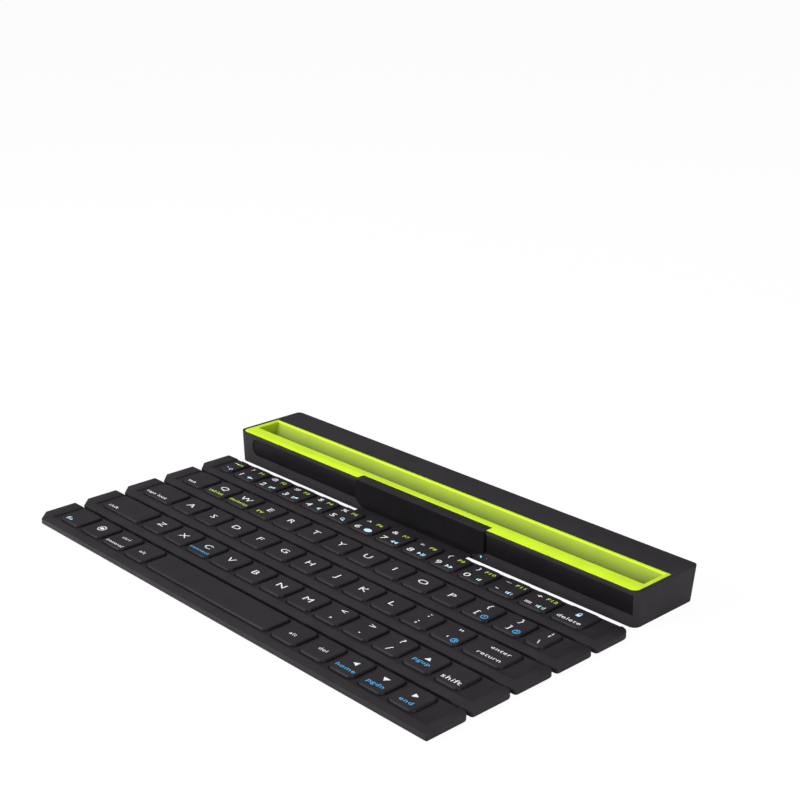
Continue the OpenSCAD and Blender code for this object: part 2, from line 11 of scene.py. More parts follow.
import bpy
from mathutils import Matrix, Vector


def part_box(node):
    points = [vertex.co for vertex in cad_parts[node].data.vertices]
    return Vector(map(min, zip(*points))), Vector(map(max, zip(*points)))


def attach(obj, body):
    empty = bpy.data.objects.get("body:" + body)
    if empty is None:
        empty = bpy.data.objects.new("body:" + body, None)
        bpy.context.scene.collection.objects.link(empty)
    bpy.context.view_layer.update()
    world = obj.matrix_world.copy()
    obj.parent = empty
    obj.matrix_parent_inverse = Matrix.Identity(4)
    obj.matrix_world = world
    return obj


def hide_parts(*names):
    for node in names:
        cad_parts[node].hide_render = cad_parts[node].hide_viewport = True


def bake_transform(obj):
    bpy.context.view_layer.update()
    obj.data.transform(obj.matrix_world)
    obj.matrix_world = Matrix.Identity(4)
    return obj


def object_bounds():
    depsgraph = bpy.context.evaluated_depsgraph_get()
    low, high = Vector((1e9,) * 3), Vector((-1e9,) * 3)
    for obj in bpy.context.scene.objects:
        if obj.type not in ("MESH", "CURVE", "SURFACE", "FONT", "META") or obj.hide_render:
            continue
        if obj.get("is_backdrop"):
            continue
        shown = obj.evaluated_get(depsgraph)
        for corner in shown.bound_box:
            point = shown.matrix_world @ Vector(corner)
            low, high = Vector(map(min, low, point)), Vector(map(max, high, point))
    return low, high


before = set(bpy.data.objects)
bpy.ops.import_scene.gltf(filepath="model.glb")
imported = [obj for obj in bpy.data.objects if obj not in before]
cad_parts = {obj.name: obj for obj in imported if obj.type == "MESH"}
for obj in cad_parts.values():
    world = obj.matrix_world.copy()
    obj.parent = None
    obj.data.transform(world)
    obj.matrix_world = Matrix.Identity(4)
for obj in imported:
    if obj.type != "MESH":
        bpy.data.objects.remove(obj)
bpy.ops.object.select_all(action="DESELECT")
cad_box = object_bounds()
MM = 0.001
ROWS = ["number", "upper", "home", "lower", "space"]

# %% [markdown]
# ## The camera
# The camera stands off the front right corner with a longish lens, a little above the table. Three typed angles
# could turn it, but a point on the table to look at is easier to read and to change, so the tracking quaternion
# works out the angles from that point.

# %% Camera
EYE = Vector((471.74, -406.22, 291.63)) * MM
AIM = Vector((-145.75, 167.6, 0)) * MM
LENS = 67.8
ROLL = math.radians(-0.2)

bpy.ops.object.camera_add(location=EYE)
camera = bpy.context.object
camera.rotation_euler = (AIM - EYE).to_track_quat("-Z", "Y").to_euler()
camera.rotation_euler.rotate_axis("Z", ROLL)
camera.data.lens = LENS
camera.data.clip_start = 0.01
bpy.context.scene.camera = camera
print("camera to its point, in millimetres:", round((AIM - EYE).length / MM))

# %% [markdown]
# ## The table and the light
# The table is white. Stronger lamps could whiten it, but they would bleach the keyboard too. So its material looks
# brighter to the camera than it is, and the keyboard still casts a soft shadow on it. The light is a plain studio
# set: a large soft lamp overhead, a stronger one low at the front left, a small one low at the right, and an even
# grey world that fills the shadows.

# %% Stage
scene = bpy.context.scene
scene.view_settings.view_transform = "Standard"
TABLE_SIZE = 12.0
TABLE_WHITE = (0.86, 0.86, 0.86, 1)
CAMERA_WHITE = 0.96
WORLD_FILL = 0.34


def camera_ray_mix(tree, lit, seen, share):
    """A mix that the camera sees as seen, by that share, and that all other rays see as lit."""
    path = tree.nodes.new("ShaderNodeLightPath")
    amount = tree.nodes.new("ShaderNodeMath")
    amount.operation = "MULTIPLY"
    amount.inputs[1].default_value = share
    tree.links.new(path.outputs["Is Camera Ray"], amount.inputs[0])
    mix = tree.nodes.new("ShaderNodeMixShader")
    tree.links.new(amount.outputs[0], mix.inputs[0])
    tree.links.new(lit, mix.inputs[1])
    tree.links.new(seen, mix.inputs[2])
    return mix.outputs[0]


bpy.ops.mesh.primitive_plane_add(size=TABLE_SIZE, location=(0, 0, 0))
table = bpy.context.object
table.name = "table"
table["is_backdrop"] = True
paint = bpy.data.materials.new("white_table")
paint.use_nodes = True
nodes = paint.node_tree.nodes
surface = nodes["Principled BSDF"]
surface.inputs["Base Color"].default_value = TABLE_WHITE
surface.inputs["Roughness"].default_value = 0.9
surface.inputs["Specular IOR Level"].default_value = 0.0
glow = nodes.new("ShaderNodeEmission")
glow.inputs["Strength"].default_value = 1.0
out = nodes["Material Output"]
table_mix = camera_ray_mix(paint.node_tree, surface.outputs[0], glow.outputs[0], CAMERA_WHITE)
paint.node_tree.links.new(table_mix, out.inputs["Surface"])
table.data.materials.append(paint)

world = bpy.data.worlds.new("studio")
scene.world = world
world.use_nodes = True
tree = world.node_tree
fill = tree.nodes["Background"]
fill.inputs["Color"].default_value = (1, 1, 1, 1)
fill.inputs["Strength"].default_value = WORLD_FILL
page = tree.nodes.new("ShaderNodeBackground")
page.inputs["Strength"].default_value = 1.0
page.inputs["Color"].default_value = (1, 1, 1, 1)
world_mix = camera_ray_mix(tree, fill.outputs[0], page.outputs[0], 1.0)
tree.links.new(world_mix, tree.nodes["World Output"].inputs["Surface"])
print("table side, in metres:", TABLE_SIZE)

# %% Lamps
LAMPS = [
    # name, place, size in metres, watts
    ("overhead", (-0.35, 0.25, 1.05), 1.1, 5.6),
    ("front", (-0.50, -1.00, 0.46), 0.9, 28.0),
    ("right", (1.15, -0.20, 0.30), 0.7, 14.0),
]
for name, place, size, watts in LAMPS:
    bpy.ops.object.light_add(type="AREA", location=place)
    lamp = bpy.context.object
    lamp.name = f"lamp_{name}"
    lamp.data.size = size
    lamp.data.energy = watts
    lamp.rotation_euler = (-Vector(place)).to_track_quat("-Z", "Y").to_euler()
print("lamps:", len(LAMPS))

# %% [markdown]
# ## Finishes
# Moulded black plastic is never one flat colour. Its mould was spark-eroded, so it has a fine grain that breaks up
# the gloss, and large faces vary a little in tone. One function makes all of the moulded finishes: a coarse noise
# for the tone, a fine noise for the grain, and a roughness that follows the grain. The patterns read Object
# coordinates, which are metres here because each piece lies at the origin. Light and shade are also painted into
# some colours: the lime finish is darker the deeper it lies in the slot, the bridge cover's top is paler than its
# front, where light catches it, the caps' sides are darker than their tops, and the bars' walls at the seams are
# darker, though not near their right ends. Separate materials could do that too, but one ramp along an axis keeps
# the change soft.

# %% Plastic and rubber
def shader_of(material):
    return material.node_tree.nodes["Principled BSDF"]


def add_noise(tree, size_mm, detail=2.0):
    """A noise whose blobs are about size_mm across, in Object coordinates."""
    place = tree.nodes.new("ShaderNodeTexCoord")
    noise = tree.nodes.new("ShaderNodeTexNoise")
    noise.inputs["Scale"].default_value = 1.0 / (size_mm * MM)
    noise.inputs["Detail"].default_value = detail
    tree.links.new(place.outputs["Object"], noise.inputs["Vector"])
    return noise.outputs["Fac"]


def add_ramp(tree, fac, low, high, colours):
    """A colour ramp from colours[0] at low to colours[1] at high."""
    ramp = tree.nodes.new("ShaderNodeValToRGB")
    ramp.color_ramp.elements[0].position = low
    ramp.color_ramp.elements[1].position = high
    ramp.color_ramp.elements[0].color = (*colours[0], 1)
    ramp.color_ramp.elements[1].color = (*colours[1], 1)
    tree.links.new(fac, ramp.inputs[0])
    return ramp.outputs[0]


def add_range(tree, fac, low, high):
    """Maps a noise of 0.3 to 0.7 to low to high."""
    span = tree.nodes.new("ShaderNodeMapRange")
    span.inputs["From Min"].default_value = 0.3
    span.inputs["From Max"].default_value = 0.7
    span.inputs["To Min"].default_value = low
    span.inputs["To Max"].default_value = high
    tree.links.new(fac, span.inputs["Value"])
    return span.outputs["Result"]


def moulded(name, colour, rough, grain_mm=0.35, grain_deep=0.012, tone=0.10, gloss=0.5, tone_mm=14.0):
    """A moulded finish: colour varies by tone over tone_mm, and the grain is grain_deep mm deep."""
    material = bpy.data.materials.new(name)
    material.use_nodes = True
    tree = material.node_tree
    shader = shader_of(material)
    shader.inputs["Specular IOR Level"].default_value = gloss
    dark = [c * (1 - tone) for c in colour]
    light = [min(1.0, c * (1 + tone)) for c in colour]
    blotch = add_noise(tree, tone_mm)
    tree.links.new(add_ramp(tree, blotch, 0.35, 0.65, (dark, light)), shader.inputs["Base Color"])
    grain = add_noise(tree, grain_mm, 3.0)
    tree.links.new(add_range(tree, grain, rough - 0.05, rough + 0.05), shader.inputs["Roughness"])
    bump = tree.nodes.new("ShaderNodeBump")
    bump.inputs["Strength"].default_value = 0.5
    bump.inputs["Distance"].default_value = grain_deep * MM
    tree.links.new(grain, bump.inputs["Height"])
    tree.links.new(bump.outputs[0], shader.inputs["Normal"])
    return material


case_black = moulded("case_black", (0.0156, 0.0134, 0.0156), 0.55, gloss=0.09)
key_black = moulded("key_black", (0.0126, 0.0108, 0.0128), 0.50, grain_mm=0.25, gloss=0.10)
# This copy of the case finish has shade painted into it, for the walls at the seams and the recess ends.
painted_shade_black = moulded("painted_shade_black", (0.0156, 0.0134, 0.0156), 0.60, gloss=0.05)
rubber_black = moulded("rubber_black", (0.010, 0.010, 0.011), 0.78, grain_mm=0.5, gloss=0.25)
strap_rubber = moulded("strap_rubber", (0.0140, 0.0120, 0.0140), 0.65, grain_mm=0.3, gloss=0.10)
panel_black = moulded("panel_black", (0.0040, 0.0031, 0.0040), 0.50, grain_mm=0.2, grain_deep=0.003, gloss=0.06)
bridge_black = moulded("bridge_black", (0.0156, 0.0134, 0.0156), 0.50, gloss=0.05)
liner_lime = moulded("liner_lime", (0.436, 0.620, 0.0048), 0.45, grain_deep=0.006, tone=0.04, gloss=0.2)


def darken_past(material, edge, depths, axis="Z"):
    """Paints light and shade into a finish's colour by shares for depths in millimetres before an edge along an axis.
    """
    tree = material.node_tree
    shader = shader_of(material)
    colour = shader.inputs["Base Color"].links[0].from_socket
    place = tree.nodes.new("ShaderNodeTexCoord")
    parts = tree.nodes.new("ShaderNodeSeparateXYZ")
    tree.links.new(place.outputs["Object"], parts.inputs[0])
    span = tree.nodes.new("ShaderNodeMapRange")
    deepest = max(depth for depth, share in depths)
    span.inputs["From Min"].default_value = (edge - deepest) * MM
    span.inputs["From Max"].default_value = edge * MM
    tree.links.new(parts.outputs[axis], span.inputs["Value"])
    ramp = tree.nodes.new("ShaderNodeValToRGB")
    stops = ramp.color_ramp.elements
    while len(stops) < len(depths):
        stops.new(0.5)
    for stop, (depth, share) in zip(stops, sorted(depths, reverse=True)):
        stop.position = 1 - depth / deepest
        stop.color = (share, share, share, 1)
    tree.links.new(span.outputs["Result"], ramp.inputs[0])
    mix = tree.nodes.new("ShaderNodeMix")
    mix.data_type = "RGBA"
    mix.blend_type = "MULTIPLY"
    mix.inputs[0].default_value = 1.0
    tree.links.new(colour, mix.inputs[6])
    tree.links.new(ramp.outputs[0], mix.inputs[7])
    tree.links.new(mix.outputs[2], shader.inputs["Base Color"])


# Each list gives depths in millimetres and the share of the colour that is left there.
# Painted shade: the lime is darker the deeper it lies in the slot, where little light reaches.
LIME_SHADE_DEPTHS = [(0, 1.0), (0.25, 1.0), (0.7, 0.5), (9.5, 0.2)]
# Painted light: the bridge cover's top is paler than its front, where light catches it.
BRIDGE_LIGHT_DEPTHS = [(0, 1.0), (0.3, 1.0), (0.6, 0.28), (9.5, 0.28)]
# Painted shade: the caps' sides are darker than their tops, as the gaps between the caps are in shade.
CAP_SHADE_DEPTHS = [(0, 1.0), (0.4, 1.0), (0.6, 0.55), (4.2, 0.55)]
# Painted shade: the bars' walls at the seams and the recess ends are darker, but not near their right ends.
WALL_SHADE_LENGTHS = [(0, 1.0), (10.5, 1.0), (11.5, 0.5), (280, 0.5)]
darken_past(liner_lime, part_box("tray_liner")[1][2] / MM, LIME_SHADE_DEPTHS)
darken_past(bridge_black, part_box("bridge_cover")[1][2] / MM, BRIDGE_LIGHT_DEPTHS)
darken_past(key_black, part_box("home_keys")[1][2] / MM, CAP_SHADE_DEPTHS)
darken_past(painted_shade_black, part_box("home_row_frame")[1][0] / MM, WALL_SHADE_LENGTHS, "X")
print("moulded finishes:", len(bpy.data.materials))

# %% [markdown]
# ## Inner finishes
# What lies inside is seen only when someone takes the part to pieces. One grey would do for all of it, but a board
# and a battery are told apart by their finish. The board has fine copper lines under its green mask, and steel,
# nickel and foil are metals with brush marks.

# %% Metals and board
def metal(name, colour, rough, streak_mm=(6.0, 0.15, 0.15)):
    """A bare metal with streaks of that size along X, Y and Z."""
    material = bpy.data.materials.new(name)
    material.use_nodes = True
    tree = material.node_tree
    shader = shader_of(material)
    shader.inputs["Metallic"].default_value = 1.0
    place = tree.nodes.new("ShaderNodeTexCoord")
    stretch = tree.nodes.new("ShaderNodeMapping")
    stretch.inputs["Scale"].default_value = [1.0 / (s * MM) for s in streak_mm]
    noise = tree.nodes.new("ShaderNodeTexNoise")
    noise.inputs["Scale"].default_value = 1.0
    tree.links.new(place.outputs["Object"], stretch.inputs["Vector"])
    tree.links.new(stretch.outputs[0], noise.inputs["Vector"])
    dark = [c * 0.85 for c in colour]
    tree.links.new(add_ramp(tree, noise.outputs["Fac"], 0.3, 0.7, (dark, colour)), shader.inputs["Base Color"])
    tree.links.new(add_range(tree, noise.outputs["Fac"], rough - 0.08, rough + 0.08), shader.inputs["Roughness"])
    return material


def circuit(name):
    """Green solder mask with a grid of copper lines that shows through it."""
    material = moulded(name, (0.012, 0.11, 0.05), 0.35, tone=0.2, tone_mm=3.0)
    tree = material.node_tree
    place = tree.nodes.new("ShaderNodeTexCoord")
    lines = tree.nodes.new("ShaderNodeTexBrick")
    lines.inputs["Scale"].default_value = 1.0 / (4.0 * MM)
    lines.inputs["Mortar Size"].default_value = 0.05
    lines.inputs["Color1"].default_value = (0.008, 0.10, 0.045, 1)
    lines.inputs["Color2"].default_value = (0.015, 0.13, 0.06, 1)
    lines.inputs["Mortar"].default_value = (0.20, 0.24, 0.06, 1)
    tree.links.new(place.outputs["Object"], lines.inputs["Vector"])
    tree.links.new(lines.outputs["Color"], shader_of(material).inputs["Base Color"])
    return material


steel = metal("socket_steel", (0.55, 0.56, 0.58), 0.32)
screw_steel = metal("screw_steel", (0.42, 0.43, 0.45), 0.38, (0.4, 0.4, 3.0))
nickel = metal("magnet_nickel", (0.62, 0.60, 0.57), 0.22)
foil = metal("cell_foil", (0.66, 0.67, 0.70), 0.36, (12.0, 0.6, 0.6))
board_green = circuit("board_green")
sheet_grey = moulded("sheet_grey", (0.25, 0.27, 0.29), 0.45, tone=0.05)
ribbon_amber = moulded("ribbon_amber", (0.50, 0.23, 0.03), 0.30, grain_mm=1.0, tone=0.15)
CAD_FINISHES = {
    "bottom_cover": case_black,
    "foot_strips": rubber_black,
    "cover_screws": screw_steel,
    "main_board": board_green,
    "battery_cell": foil,
    "closing_magnets_tray": nickel,
    "closing_magnets_bar": nickel,
}
for row in ROWS:
    CAD_FINISHES[f"{row}_row_base"] = rubber_black
    CAD_FINISHES[f"{row}_row_sheet"] = sheet_grey


def paint_all(obj, material):
    """Gives every face of obj one material."""
    obj.data.materials.clear()
    obj.data.materials.append(material)


for node, material in CAD_FINISHES.items():
    paint_all(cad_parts[node], material)
print("CAD nodes with a finish:", len(CAD_FINISHES))

# %% [markdown]
# ## Small tools for modelling
# Each new piece starts as a box at its real place. Its object then sits at the origin with its place in its mesh,
# as the CAD pieces do. Edges and faces could be picked by their numbers, but those change with every cut, so they
# are picked by their place, and edit mode does the rest.

# %% Boxes
def make_active(obj):
    bpy.ops.object.select_all(action="DESELECT")
    obj.select_set(True)
    bpy.context.view_layer.objects.active = obj


def settle(obj):
    """Moves the object's place, turn and size into its mesh."""
    make_active(obj)
    bpy.ops.object.transform_apply(location=True, rotation=True, scale=True)


def add_block(name, low, high):
    """A box between two corners, given in millimetres."""
    middle = [(a + b) / 2 * MM for a, b in zip(low, high)]
    bpy.ops.mesh.primitive_cube_add(size=1, location=middle)
    obj = bpy.context.object
    obj.name = name
    obj.scale = [(b - a) * MM for a, b in zip(low, high)]
    settle(obj)
    return obj


# %% Picking edges and faces
def near(a, b, tolerance=0.02):
    """Whether two lengths in millimetres are the same."""
    return abs(a - b) < tolerance


def pick_edges(obj, test):
    """Selects the edges whose two ends, in millimetres, pass the test, and enters edit mode."""
    make_active(obj)
    mesh = obj.data
    for part in (mesh.vertices, mesh.edges, mesh.polygons):
        part.foreach_set("select", [False] * len(part))
    found = 0
    for edge in mesh.edges:
        a, b = (mesh.vertices[i].co / MM for i in edge.vertices)
        edge.select = bool(test(a, b))
        found += edge.select
    bpy.ops.object.mode_set(mode="EDIT")
    bpy.ops.mesh.select_mode(type="EDGE")
    return found


def pick_faces(obj, test):
    """Selects the faces whose middle (in millimetres) and normal pass the test, and enters edit mode."""
    make_active(obj)
    mesh = obj.data
    for part in (mesh.vertices, mesh.edges, mesh.polygons):
        part.foreach_set("select", [False] * len(part))
    for face in mesh.polygons:
        face.select = bool(test(face.center / MM, face.normal))
    bpy.ops.object.mode_set(mode="EDIT")
    bpy.ops.mesh.select_mode(type="FACE")


def leave_edit():
    bpy.ops.object.mode_set(mode="OBJECT")


def bevel_edges(obj, test, radius, segments):
    """Rounds the edges that pass the test."""
    if pick_edges(obj, test):
        bpy.ops.mesh.bevel(offset=radius * MM, segments=segments, affect="EDGES", clamp_overlap=True)
    leave_edit()


def move_edges(obj, test, step):
    """Moves the edges that pass the test by a step in millimetres."""
    pick_edges(obj, test)
    bpy.ops.transform.translate(value=[v * MM for v in step])
    leave_edit()


def extrude(step):
    """Extrudes the selected faces by a step in millimetres."""
    bpy.ops.mesh.extrude_region_move(TRANSFORM_OT_translate={"value": [v * MM for v in step]})


def upright_at(x, y):
    """A test for the upright edges at x, y."""
    return lambda a, b: near(a.x, x) and near(b.x, x) and near(a.y, y) and near(b.y, y)


def uprights_at_depth(y):
    """A test for the upright edges at the depth y."""
    return lambda a, b: near(a.y, y) and near(b.y, y) and abs(a.z - b.z) > 1


def at_height(z):
    """A test for the level edges at the height z."""
    return lambda a, b: near(a.z, z) and near(b.z, z)


def at_depth_and_height(y, z):
    """A test for the edges along X at y, z."""
    return lambda a, b: near(a.y, y) and near(b.y, y) and near(a.z, z) and near(b.z, z)


# %% Cutting and finishing
# A cutter reaches PAST millimetres beyond the face that it cuts, or FAR_PAST where there is room.
PAST = 1.0
FAR_PAST = 5.0
# Edges sharper than SHARP get a radius. Faces that meet at less than SMOOTH, or ROUNDER, are shaded as one.
SHARP = math.radians(35)
SMOOTH = math.radians(30)
ROUNDER = math.radians(40)


def finish_with(obj, kind, **settings):
    """Adds a modifier and applies it."""
    make_active(obj)
    modifier = obj.modifiers.new(kind.lower(), kind)
    for key, value in settings.items():
        setattr(modifier, key, value)
    bpy.ops.object.modifier_apply(modifier=modifier.name)


def carve(obj, tool, operation="DIFFERENCE"):
    """Cuts tool out of obj, or joins it to obj, and deletes tool."""
    finish_with(obj, "BOOLEAN", object=tool, operation=operation, solver="EXACT")
    bpy.data.objects.remove(tool, do_unlink=True)


def clean(obj, size=0.004):
    """Merges the doubles and slivers, smaller than size in millimetres, that cuts and outlines leave."""
    make_active(obj)
    bpy.ops.object.mode_set(mode="EDIT")
    bpy.ops.mesh.select_all(action="SELECT")
    bpy.ops.mesh.remove_doubles(threshold=size * MM)
    bpy.ops.mesh.dissolve_degenerate(threshold=size * MM)
    leave_edit()


def soften(obj, radius, segments):
    """Rounds every sharp edge a little, as a mould does, and shades it smooth."""
    finish_with(obj, "BEVEL", width=radius * MM, segments=segments, limit_method="ANGLE", angle_limit=SHARP)
    clean(obj)
    bpy.ops.object.shade_smooth_by_angle(angle=SMOOTH)


def join(objects, name):
    """Joins several objects into one mesh."""
    bpy.ops.object.select_all(action="DESELECT")
    for obj in objects:
        obj.select_set(True)
    bpy.context.view_layer.objects.active = objects[0]
    if len(objects) > 1:
        bpy.ops.object.join()
    joined = bpy.context.object
    joined.name = name
    settle(joined)
    return joined


def node_box(node):
    """A CAD node's low and high corners, in millimetres."""
    low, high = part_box(node)
    return Vector(low) / MM, Vector(high) / MM


# %% [markdown]
# ## Where the keys are
# Typed places would be wrong as soon as the frame changed, so the keys' places come from the frame. A key's CAD
# solid has a thin wing on each side that holds it under its bar, so the visible cap is narrower than the solid by
# the wings. A group node is a line of equal keys.

# %% Key places
WING = 0.85
KEY_GAP = 2.8
CAP_CLEAR = 0.2
KEY_RADIUS = 2.5
GROUPS = {"number_keys": 12, "upper_keys": 12, "home_keys": 11, "lower_keys": 10}
ROW_NODES = {
    "number": ["key_grave", "number_keys", "key_delete"],
    "upper": ["key_tab", "upper_keys", "key_backslash"],
    "home": ["key_caps", "home_keys", "key_enter"],
    "lower": ["key_shift_left", "lower_keys", "key_up", "key_shift_right"],
    "space": ["key_fn", "key_system", "key_control", "key_alt_left", "key_space", "key_alt_right", "key_erase",
              "key_left", "key_down", "key_right"],
}


def caps_of(node):
    """The low and high corners of each cap in a key node, in millimetres."""
    low, high = node_box(node)
    count = GROUPS.get(node, 1)
    start, end = low.x + WING, high.x - WING
    width = (end - start - (count - 1) * KEY_GAP) / count
    caps = []
    for k in range(count):
        x = start + k * (width + KEY_GAP)
        caps.append((Vector((x, low.y, low.z + CAP_CLEAR)), Vector((x + width, high.y, high.z))))
    return caps


print("caps:", sum(len(caps_of(n)) for names in ROW_NODES.values() for n in names))

# %% [markdown]
# ## The key bars
# Each bar is a thin moulded plate with a raised rim and a shallow recess that is open at the back. The front left
# corner is cut off, and the other corners are round. A box is shaped first, then the recess and the key openings
# are cut with a Boolean, because a real mould does the same with steel blocks. A fine edge radius follows. The
# walls at the seams and the left end of the recess take a second material slot, with shade painted into its colour.

# %% Bars
CHAMFER = 6.0
BAR_RADIUS = 3.2
END_RADIUS = 5.5
SMALL_RADIUS = 0.6
FRONT_CORNER = 1.2
WELL_LEFT = 7.6
WELL_RIGHT = 5.2
WELL_FRONT = 1.3
WELL_DEEP = 0.4
WELL_SLOPE = 0.7
KEY_PLAY = 0.2
BAR_EDGE = 0.22
FACING_FRONT = -0.7
FACING_RIGHT = 0.25


def rounded_block(name, low, high, radius, segments):
    """A box with round upright corners."""
    obj = add_block(name, low, high)
    corners = [(x, y) for x in (low[0], high[0]) for y in (low[1], high[1])]
    tests = [upright_at(x, y) for x, y in corners]
    bevel_edges(obj, lambda a, b: any(t(a, b) for t in tests), radius, segments)
    return obj


def make_bar(row):
    low, high = node_box(f"{row}_row_frame")
    bar = add_block(f"{row}_bar", low, high)
    bevel_edges(bar, upright_at(low.x, low.y), CHAMFER, 1)
    bevel_edges(bar, upright_at(low.x, high.y), SMALL_RADIUS, 3)
    bevel_edges(bar, upright_at(high.x, low.y), FRONT_CORNER, 4)
    bevel_edges(bar, upright_at(high.x, high.y), END_RADIUS if row == "number" else BAR_RADIUS, 8)
    caps = [cap for node in ROW_NODES[row] for cap in caps_of(node)]
    front = caps[0][0].y - WELL_FRONT
    floor = high.z - WELL_DEEP
    well = add_block("well", (low.x + WELL_LEFT, front, floor), (high.x - WELL_RIGHT, high.y + FAR_PAST, high.z))
    for x, step in ((low.x + WELL_LEFT, WELL_SLOPE), (high.x - WELL_RIGHT, -WELL_SLOPE)):
        move_edges(well, lambda a, b: near(a.z, floor) and near(b.z, floor) and near(a.x, x) and near(b.x, x),
                   (step, 0, 0))
    pick_faces(well, lambda c, n: n.z > 0.9)
    extrude((0, 0, FAR_PAST))
    leave_edit()
    carve(bar, well)
    holes = []
    play = Vector((KEY_PLAY, KEY_PLAY, 0))
    for a, b in caps:
        hole_low = Vector((a.x, a.y, low.z - PAST)) - play
        hole_high = Vector((b.x, b.y, high.z + PAST)) + play
        holes.append(rounded_block("hole", hole_low, hole_high, KEY_RADIUS + KEY_PLAY, 4))
    carve(bar, join(holes, "holes"))
    soften(bar, BAR_EDGE, 2)
    paint_all(bar, case_black)
    # Walls that face the front get the painted shade, but the space bar's own front wall faces no seam.
    wall_from = low.y + PAST if row == "space" else low.y - PAST
    well_end = low.x + WELL_LEFT + WELL_SLOPE / 2
    pick_faces(bar, lambda c, n: n.y < FACING_FRONT and c.y > wall_from
               or abs(c.x - well_end) < WELL_SLOPE and n.x > FACING_RIGHT and c.z < high.z)
    bar.data.materials.append(painted_shade_black)
    bar.active_material_index = 1
    bpy.ops.object.material_slot_assign()
    leave_edit()
    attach(bar, f"{row}_row")
    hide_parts(f"{row}_row_frame")
    return bar


bars = [make_bar(row) for row in ROWS]
print("faces in a bar:", len(bars[0].data.polygons))

# %% [markdown]
# ## The key caps
# A cap is a low tile. Its skirt drops straight into the bar, and above the bar its sides lean in a little to a
# soft rim, inside which the top is a shallow dish. Sculpting could give that dish, but two small extrusions keep it
# even. The skirt is a box with round corners. Its top face is extruded and scaled for the leaning sides, and the
# rim is bevelled. A group of equal keys copies one cap, each with its own mesh.

# %% Caps
CAP_LEAN = 0.35
CAP_EDGE = 0.5
CAP_DISH = 0.07
CAP_RIM = 1.5
DISH_STEPS = 2


def make_cap(name, low, high, floor):
    """One cap between two corners, whose sides lean in above the height floor."""
    cap = rounded_block(name, low, (high[0], high[1], floor), KEY_RADIUS, 6)
    middle = ((low[0] + high[0]) / 2 * MM, (low[1] + high[1]) / 2 * MM, high[2] * MM)
    lean = [(b - a - 2 * CAP_LEAN) / (b - a) for a, b in zip(low[:2], high[:2])]
    pick_faces(cap, lambda c, n: n.z > 0.9)
    extrude((0, 0, high[2] - floor))
    bpy.ops.transform.resize(value=(lean[0], lean[1], 1), center_override=middle)
    leave_edit()
    bevel_edges(cap, lambda a, b: near(a.z, high[2]) and near(b.z, high[2]), CAP_EDGE, 3)
    pick_faces(cap, lambda c, n: n.z > 0.99 and near(c.z, high[2]))
    for step in range(DISH_STEPS):
        extrude((0, 0, -CAP_DISH / DISH_STEPS))
        shrink = [(w - 2 * CAP_RIM) / w for w in ((high[0] - low[0]) * lean[0], (high[1] - low[1]) * lean[1])]
        bpy.ops.transform.resize(value=(shrink[0], shrink[1], 1), center_override=middle)
    leave_edit()
    bpy.ops.object.shade_smooth_by_angle(angle=ROUNDER)
    return cap


def make_caps(node, row):
    well_floor = node_box(f"{row}_row_frame")[1].z - WELL_DEEP
    caps = caps_of(node)
    first = make_cap(node, *caps[0], well_floor)
    copies = [first]
    for cap in caps[1:]:
        twin = first.copy()
        twin.data = first.data.copy()
        twin.location = (cap[0] - caps[0][0]) * MM
        bpy.context.collection.objects.link(twin)
        copies.append(twin)
    piece = join(copies, f"{node}_cap")
    paint_all(piece, key_black)
    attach(piece, node)
    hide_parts(node)


for row in ROWS:
    for node in ROW_NODES[row]:
        make_caps(node, row)
print("cap pieces:", sum(len(v) for v in ROW_NODES.values()))

# %% [markdown]
# ## The tray bar's shell
# The tray bar is a box whose ends and back lean out towards the top. Its upright corners are round. The shell is
# hollow: one block cuts the room for the board and the battery, others cut the seat of the liner, the shallow seat
# of the front panel, the slit for the strap, the holes for the two lights and the mouth of the charging socket. The
# top edges could be rounded last, as on the bars, but they are rounded before the cuts, so that the narrow lip
# beside the liner keeps its shape.

# %% Sizes of the tray bar
END_LEAN = 0.8
BACK_LEAN = 1.8
FRONT_RADIUS = 3.5
BACK_RADIUS = 2.4
WALL = 2.0
DECK = 1.8
LINER_DEEP = 24.2
LEDGE = 0.7
LIP = 0.4
LIP_END = 1.8
FIT = 0.05
PANEL_RADIUS = 4.0
TOP_EDGE = 0.15
FOOT_EDGE = 0.4
SEAT_DEEP = 1.5
SLIT_LOW, SLIT_HIGH = 1.5, 2.85
MOUTH_LOW = 5.0
ABOVE = 3.0
LIGHT_RADIUS = 0.5
HOLE_RADIUS, HOLE_DEEP = 0.6, 6.0
PORT_HALF = 3.8
PORT_TALL = 2.7
PORT_RADIUS = 1.2
tray_low, tray_high = node_box("tray_housing")
liner_low, liner_high = node_box("tray_liner")
panel_low, panel_high = node_box("front_panel")
bridge_low, bridge_high = node_box("bridge_cover")
strap_low, strap_high = node_box("hinge_strap")
lights_low, lights_high = node_box("status_lights")
port_low, port_high = node_box("charge_port")
FRONT = tray_low.y
TOP = tray_high.z
SEAT = TOP - SEAT_DEEP
LIGHT_X = (lights_low.x + LIGHT_RADIUS, lights_high.x - LIGHT_RADIUS)
LIGHT_Z = (lights_low.z + lights_high.z) / 2
PORT_Y = (port_low.y + port_high.y) / 2
PORT_LOW = port_high.z - PORT_TALL
print("tray bar, in millimetres:", [round(v, 1) for v in tray_high - tray_low])

# %% The shell's outside
shell = add_block("tray_shell", tray_low, tray_high)
pick_faces(shell, lambda c, n: n.z < -0.9)
bpy.ops.transform.resize(value=(1 - END_LEAN / tray_high.x, 1, 1), center_override=(0, 0, 0))
leave_edit()
move_edges(shell, at_depth_and_height(tray_high.y, tray_low.z), (0, -BACK_LEAN, 0))
bevel_edges(shell, uprights_at_depth(FRONT), FRONT_RADIUS, 8)
middle_y = (tray_low.y + tray_high.y) / 2
bevel_edges(shell, lambda a, b: abs(a.z - b.z) > 1 and a.y > middle_y, BACK_RADIUS, 6)
bevel_edges(shell, at_height(TOP), TOP_EDGE, 2)
bevel_edges(shell, at_height(tray_low.z), FOOT_EDGE, 2)

